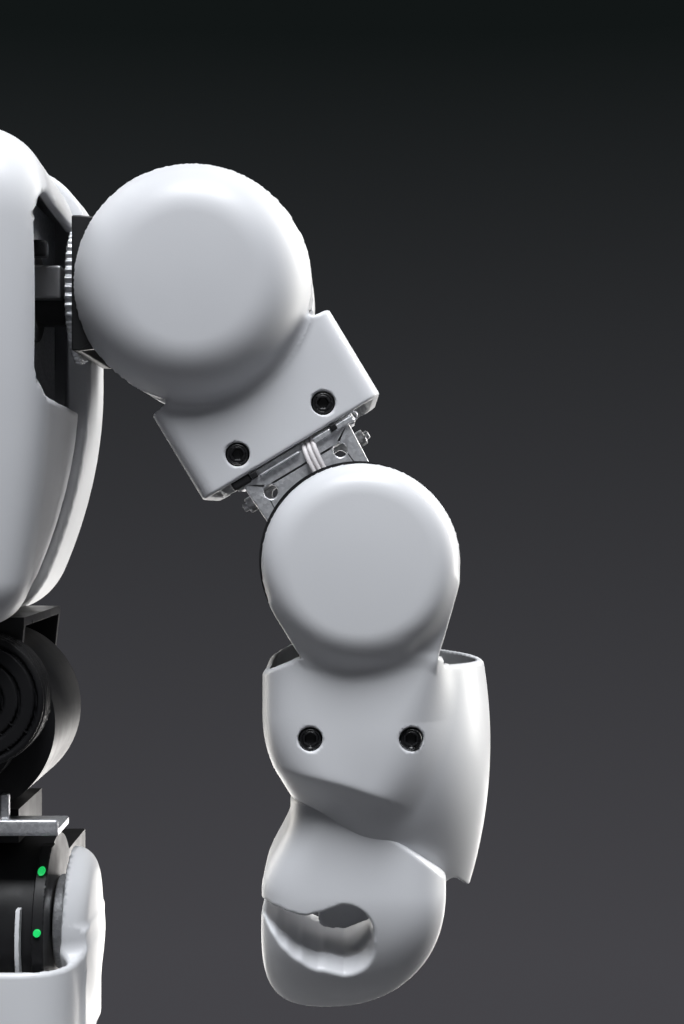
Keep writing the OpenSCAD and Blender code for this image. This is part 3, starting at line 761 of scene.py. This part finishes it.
def visor_outline(p, grow):
    """The visor's outline seen from the front."""
    x, y, z = p
    return flat_rect(x, z, (0, EYE_Z), (29.8 + grow, 12.8 + grow), 11.5 + grow)


def head_opening(p):
    """The opening over the neck."""
    x, y, z = p
    return np.maximum(flat_rect(x, y, (0, 0), (25, 24), 8.0), z - 397)


def head_front_field(p):
    """The face shell, open behind the visor."""
    x, y, z = p
    shell = cut(head_body(p, 0), head_body(p, HEAD_WALL), 0.3)
    shell = cut(shell, np.maximum(visor_outline(p, 0.3), y + 18), 0.8)
    shell = cut(shell, head_opening(p), 1.0)
    return meet(shell, y + 0.1, 0.5)


def head_rear_field(p):
    """The rear shell of the head, with four vents."""
    x, y, z = p
    shell = cut(head_body(p, 0), head_body(p, HEAD_WALL), 0.3)
    shell = cut(shell, head_opening(p), 1.0)
    vents = np.minimum.reduce([flat_rect(x, z, (0, 418 + 6 * n), (13 - n, 1.1), 1.0) for n in range(4)])
    shell = cut(shell, np.maximum(vents, 20 - y), 0.5)
    return meet(shell, 0.15 - y, 0.5)


def visor_field(p):
    """A curved plate just inside the face."""
    x, y, z = p
    band = np.maximum(head_body(p, 0.7), -head_body(p, 3.2))
    return meet(meet(band, visor_outline(p, 0.0), 0.5), y + 19, 0.3)


HEAD_LOW, HEAD_HIGH = (-44, -40, 383), (44, 40, 457)
moulding("head_front", surface(head_front_field, HEAD_LOW, (44, 2, 457), 0.9), "head", ["head_shell"], WORLD,
         WHITE)
moulding("head_rear", surface(head_rear_field, (-44, -2, 383), HEAD_HIGH, 0.9), "head", ["head_rear_shell"],
         WORLD, WHITE)
moulding("visor", surface(visor_field, (-33, -40, 408), (33, -16, 440), 0.6), "head", ["face_visor"], WORLD,
         VISOR)

# ---------- leg mouldings ----------

LEG_X = HIP_ROLL[0]
COVER_HALF = 21.3
LEG_WALL = 1.6
THIGH_TOP, THIGH_BOTTOM, THIGH_REAR_TOP = 215.5, 151.5, 178.0
SHIN_TOP, SHIN_BOTTOM, SHIN_REAR_TOP = 104.0, 47.5, 98.0


def thigh_field(p):
    """The thigh cover, lower behind, with a puffed disc over the outer end of the hip axis."""
    x, y, z = p
    side = np.abs(x) - COVER_HALF + 0.0006 * (z - 200) ** 2
    depth = np.abs(y) - 23 + 0.0010 * (z - 196) ** 2
    body = meet(side, depth, 11.0)
    inner = meet(side + LEG_WALL, depth + LEG_WALL, 9.0)
    shell = cut(body, inner, 0.3)
    shell = meet(shell, z - THIGH_TOP, 1.0)
    shell = cut(shell, np.maximum(THIGH_REAR_TOP - z, 8 - y), 1.0)
    shell = meet(shell, THIGH_BOTTOM - z, 0.8)
    rho = np.hypot(y, z - HIP_PITCH[2] - 1.0)
    puff = meet(rho - 13.6, x - 22.9 + 0.006 * rho ** 2, 5.0)
    puff = meet(puff, 17.8 - x, 0.6)
    stem = np.maximum(np.abs(y) - 11, np.abs(x - 20.5) - 0.8)
    stem = np.maximum(stem, span(z, 200, HIP_PITCH[2]))
    outer = join(puff, stem, 3.0)
    return join(shell, outer, 3.5)


def shin_field(p):
    """The shin cover, lower behind, with two grooves in front."""
    x, y, z = p
    side = np.abs(x) - COVER_HALF + 0.0009 * (z - 84) ** 2
    depth = np.abs(y + 0.5) - 22.5 + 0.0010 * (z - 86) ** 2
    shell = cut(meet(side, depth, 11.0), meet(side + LEG_WALL, depth + LEG_WALL, 9.0), 0.3)
    groove = np.maximum(np.abs(np.abs(x) - 9) - 0.5, np.abs(z - 80) - 16)
    shell = cut(shell, np.maximum(groove, y + 21.6), 0.4)
    shell = meet(shell, meet(z - SHIN_TOP, SHIN_BOTTOM - z, 0.1), 1.0)
    rear = np.maximum(SHIN_REAR_TOP - z, 8 - y)
    return cut(shell, np.maximum(rear, 0.0), 1.0)


leg_place = Matrix.Translation((LEG_X, 0, 0))
both_sides("thigh_moulding", thigh_field, (-23, -26, 150), (25, 26, 237), 0.8, "thigh", ["thigh_cover"],
           leg_place)
both_sides("shin_moulding", shin_field, (-23, -26, 46), (23, 26, 106), 0.8, "shin", ["shin_cover"], leg_place)


def foot_outline(x, y):
    """The sole's outline seen from above."""
    return flat_rect(x, y, (0, 0), (26, 52), 12.0)


def foot_field(p):
    """The grey toe and heel caps."""
    x, y, z = p
    upper = meet(foot_outline(x, y) + 3.0, z - 13.0 - 0.0006 * y ** 2 + 0.004 * x ** 2, 8.0)
    upper = meet(upper, 3.2 - z, 0.4)
    well = flat_rect(x, y, (0, 0), (30, 21.5), 3.0)
    return cut(upper, well, 1.0)


def sole_field(p):
    """The sole plate with the two ears that carry the ankle roll axis."""
    x, y, z = p
    sole = meet(foot_outline(x, y), span(z, 0.0, 3.0), 1.0)
    ears = meet(np.hypot(x, z - ANKLE_ROLL[2]) - 8, -0.1, 0.1)
    ears = np.minimum(ears, np.maximum(np.abs(x) - 8, np.abs(z - 11) - 10))
    ears = meet(ears, span(np.abs(y), 14.2, 15.8), 0.4)
    horn = np.maximum(np.hypot(x, z - ANKLE_ROLL[2]) - 6, span(np.abs(y), 12.3, 14.3))
    ears = join(ears, horn, 0.5)
    ears = cut(ears, np.hypot(x, z - ANKLE_ROLL[2]) - 2.6, 0.3)
    return join(sole, ears, 1.5)


both_sides("foot_top", foot_field, (-28, -54, 2), (28, 54, 17), 0.9, "foot", [], leg_place, GREY)
both_sides("foot_sole", sole_field, (-28, -54, -1), (28, 54, 30), 0.9, "foot", ["foot"], leg_place,
           BLACK_SHEET)

# ---------- fittings inside the arm openings and at the hips ----------


def strap_field(p):
    """A bar across the arm opening, on a plate behind the chest's edge."""
    side_plate = box(p, (48.3, -25, 343), (1.2, 1.0, 14.5), 0.4)
    bar = box(p, (51.5, -23.5, 347.2), (4.6, 1.6, 1.5), 0.5)
    return np.minimum(side_plate, bar)


def strap_screw_field(p):
    """The two screw heads on that plate."""
    x, y, z = p
    heads = np.minimum(np.hypot(x - 50.3, z - 354.0), np.hypot(x - 50.3, z - 334.6)) - 1.2
    return meet(heads, span(y, -26.8, -23.8), 0.4)


def gear_field(p):
    """A toothed ring round the shoulder's pitch axis."""
    x, y, z = p
    turn = np.arctan2(y, z - SHOULDER[2])
    rho = np.hypot(y, z - SHOULDER[2])
    return np.maximum(np.maximum(rho - 13.0 - 0.3 * np.cos(48 * turn), 10 - rho), span(x, 57.3, 58.9)) * 0.8


def block_field(p):
    """A cast block beside the shoulder shaft."""
    return box(p, (52.9, -8.1, SHOULDER[2] + 1.5), (3.3, 1.9, 3.15), 0.5)


both_sides("strap", strap_field, (46, -28, 327), (57, -21, 359), 0.5, "torso", [], WORLD, BLACK)
both_sides("strap_screws", strap_screw_field, (48, -28, 332), (52, -23, 356), 0.25, "torso", [], WORLD,
           STEEL)
both_sides("shoulder_ring", gear_field, (56, -15, SHOULDER[2] - 15), (60, 15, SHOULDER[2] + 15), 0.4,
           "shoulder", [], WORLD, ZINC)
both_sides("shoulder_block", block_field, (48.5, -11, SHOULDER[2] - 3), (57.5, -5, SHOULDER[2] + 6), 0.3,
           "shoulder", [], WORLD, CAST)


# the ribbed cap's axis, radius and rib spacing
CAP_X, CAP_Z, CAP_R, CAP_RIB = 44.0, 265.6, 12.2, 1.7
# the strips' inner radius on the hip servo, and the green lights' places
SERVO_SKIN = 17.2
LIGHTS_X = 53.3
LIGHT_HEIGHTS = (232.3, 221.9)


def hip_cap_field(p):
    """The ribbed cap over the front of the hip."""
    x, y, z = p
    rho = np.hypot(x - CAP_X, z - CAP_Z)
    side = rho - CAP_R + 0.3 * (1 + np.cos(2 * math.pi * y / CAP_RIB))
    rings = np.abs(np.mod(rho, 3.0) - 1.5) - 0.25
    cap = meet(side, span(y, -26.5, -18.8), 1.0)
    return cut(cap, np.maximum(rings, y + 25.9), 0.2)


def hip_shelf_field(p):
    """A metal shelf between the two hip servos, with a lip in front and a short strut."""
    shelf = box(p, (44, -14.5, 240.9), (13.5, 6.0, 0.8), 0.3)
    lip = box(p, (46, -20.3, 241.8), (11.5, 0.7, 1.4), 0.6)
    strut = box(p, (47.6, -19.5, 244.6), (0.8, 0.8, 3.2), 0.3)
    return np.minimum(np.minimum(shelf, lip), strut)


def on_servo(p, low, high, reach, centre_x, half_width):
    """A strip bent round the front of the hip pitch servo, between two heights."""
    x, y, z = p
    rho = np.hypot(y, z - HIP_PITCH[2])
    strip = np.maximum(span(rho, SERVO_SKIN, reach), np.abs(x - centre_x) - half_width)
    return np.maximum(strip, np.maximum(span(z, low, high), y))


def light_strip_field(p):
    """The dark strip that carries the green lights."""
    return on_servo(p, 212, 236, 18.8, LIGHTS_X, 1.1)


def white_strip_field(p):
    """A narrow white strip beside it."""
    return on_servo(p, 213, 226, 19.2, 49.6, 0.45)


def green_lights_field(p):
    """Two round lights on the dark strip."""
    x, y, z = p
    lights = [np.hypot(x - LIGHTS_X, z - height) for height in LIGHT_HEIGHTS]
    rho = np.hypot(y, z - HIP_PITCH[2])
    return np.maximum(np.maximum(np.minimum(*lights) - 0.7, span(rho, 18.0, 19.4)), y)


both_sides("hip_ribbed_cap", hip_cap_field, (31, -28, 252), (57, -18, 279), 0.45, "hip", [], WORLD, BLACK)
both_sides("hip_shelf", hip_shelf_field, (29, -22, 238), (59, -7, 256), 0.45, "hip_block", [], WORLD, ZINC)
both_sides("hip_board", light_strip_field, (51, -20, 211), (56, -6, 237), 0.4, "hip_block", [], WORLD, BLACK)
both_sides("hip_strip", white_strip_field, (48.5, -20, 212), (51, -15, 227), 0.3, "hip_block", [], WORLD)
both_sides("hip_lights", green_lights_field, (52, -20.5, 220), (55, -12, 234), 0.2, "hip_block", [], WORLD,
           GREEN_LIGHT)

# ---------- CAD nodes that keep their meshes ----------

for row in RECORD["subparts"]:
    node = bpy.data.objects.get(row["node"])
    if node is None:
        continue
    node.data.materials.clear()
    node.data.materials.append(NODE_MATERIALS[row["material_slot"]])
    width = BEVEL_MM.get(row["material_slot"], 0.15)
    normals = node.data.attributes.get("custom_normal")
    if normals:
        node.data.attributes.remove(normals)
    node.data.polygons.foreach_set("use_smooth", np.ones(len(node.data.polygons), dtype=bool))
    node.modifiers.new("weld", "WELD").merge_threshold = 0.002 * MM
    bevel = node.modifiers.new("edges", "BEVEL")
    bevel.width = width * MM
    bevel.segments = 2
    bevel.limit_method = "ANGLE"
    bevel.angle_limit = math.radians(35)
    node.modifiers.new("normals", "WEIGHTED_NORMAL").keep_sharp = True

# ---------- lights, floor and backdrop ----------


def area_light(name, place, aim, size, power, colour):
    """A rectangular light, in metres and watts, that the camera doesn't see."""
    data = bpy.data.lights.new(name, "AREA")
    data.shape = "RECTANGLE"
    data.size, data.size_y = size
    data.energy = power
    data.color = colour
    lamp = bpy.data.objects.new(name, data)
    bpy.context.scene.collection.objects.link(lamp)
    lamp.location = place
    lamp.visible_camera = False
    lamp.rotation_euler = (Vector(aim) - Vector(place)).to_track_quat("-Z", "Y").to_euler()


AIM = (0.11, 0.0, 0.28)
area_light("key", (0.16, -1.05, 2.34), AIM, (1.2, 1.0), 78.0, (0.95, 0.97, 1.0))
area_light("fill", (0.1, -1.6, 0.45), AIM, (1.2, 0.8), 0.4, (0.93, 0.96, 1.0))
area_light("rim_right", (0.85, 0.35, 0.55), AIM, (0.3, 0.9), 11.0, (1.0, 0.98, 0.93))
area_light("rim_left", (-0.55, 0.55, 0.40), AIM, (0.3, 0.8), 5.0, (1.0, 0.96, 0.88))
area_light("under", (0.1, 0.60, 0.03), AIM, (0.9, 0.2), 2.5, (1.0, 0.97, 0.94))

FLOOR_RADIUS = 0.45
floor_mesh = bpy.data.meshes.new("floor")
floor_build = bmesh.new()
bmesh.ops.create_circle(floor_build, cap_ends=True, radius=FLOOR_RADIUS, segments=96)
floor_build.to_mesh(floor_mesh)
floor_build.free()
floor = bpy.data.objects.new("floor", floor_mesh)
bpy.context.scene.collection.objects.link(floor)
floor.location.z = cad_box[0][2] - 0.0002
floor_shader = Shader("dark_floor", Roughness=0.6)
floor_shader.link(floor_shader.mix(floor_shader.ramp(floor_shader.noise(4.0), 0.3, 0.7, 0.0, 1.0),
                                   rgb(0.050, 0.050, 0.053), rgb(0.040, 0.040, 0.043)), "Base Color")
floor_mesh.materials.append(floor_shader.material)

# a backdrop that is darker towards the top
world = bpy.data.worlds.new("studio")
bpy.context.scene.world = world
world.use_nodes = True
tree = world.node_tree
direction = tree.nodes.new("ShaderNodeTexCoord").outputs["Generated"]
shift = tree.nodes.new("ShaderNodeVectorMath")
shift.operation = "MULTIPLY_ADD"
shift.inputs[1].default_value = (0.5, 0.5, 0.5)
shift.inputs[2].default_value = (0.5, 0.5, 0.5)
tree.links.new(direction, shift.inputs[0])
height = tree.nodes.new("ShaderNodeSeparateXYZ")
tree.links.new(shift.outputs[0], height.inputs[0])
blend = tree.nodes.new("ShaderNodeValToRGB")
tree.links.new(height.outputs[2], blend.inputs[0])
blend.color_ramp.elements[0].position = 0.37
blend.color_ramp.elements[0].color = rgb(0.058, 0.057, 0.064)
blend.color_ramp.elements[1].position = 0.64
blend.color_ramp.elements[1].color = rgb(0.006, 0.008, 0.008)
tree.links.new(blend.outputs[0], tree.nodes["Background"].inputs[0])

view_settings = bpy.context.scene.view_settings
view_settings.view_transform = "Standard"
view_settings.look = "None"
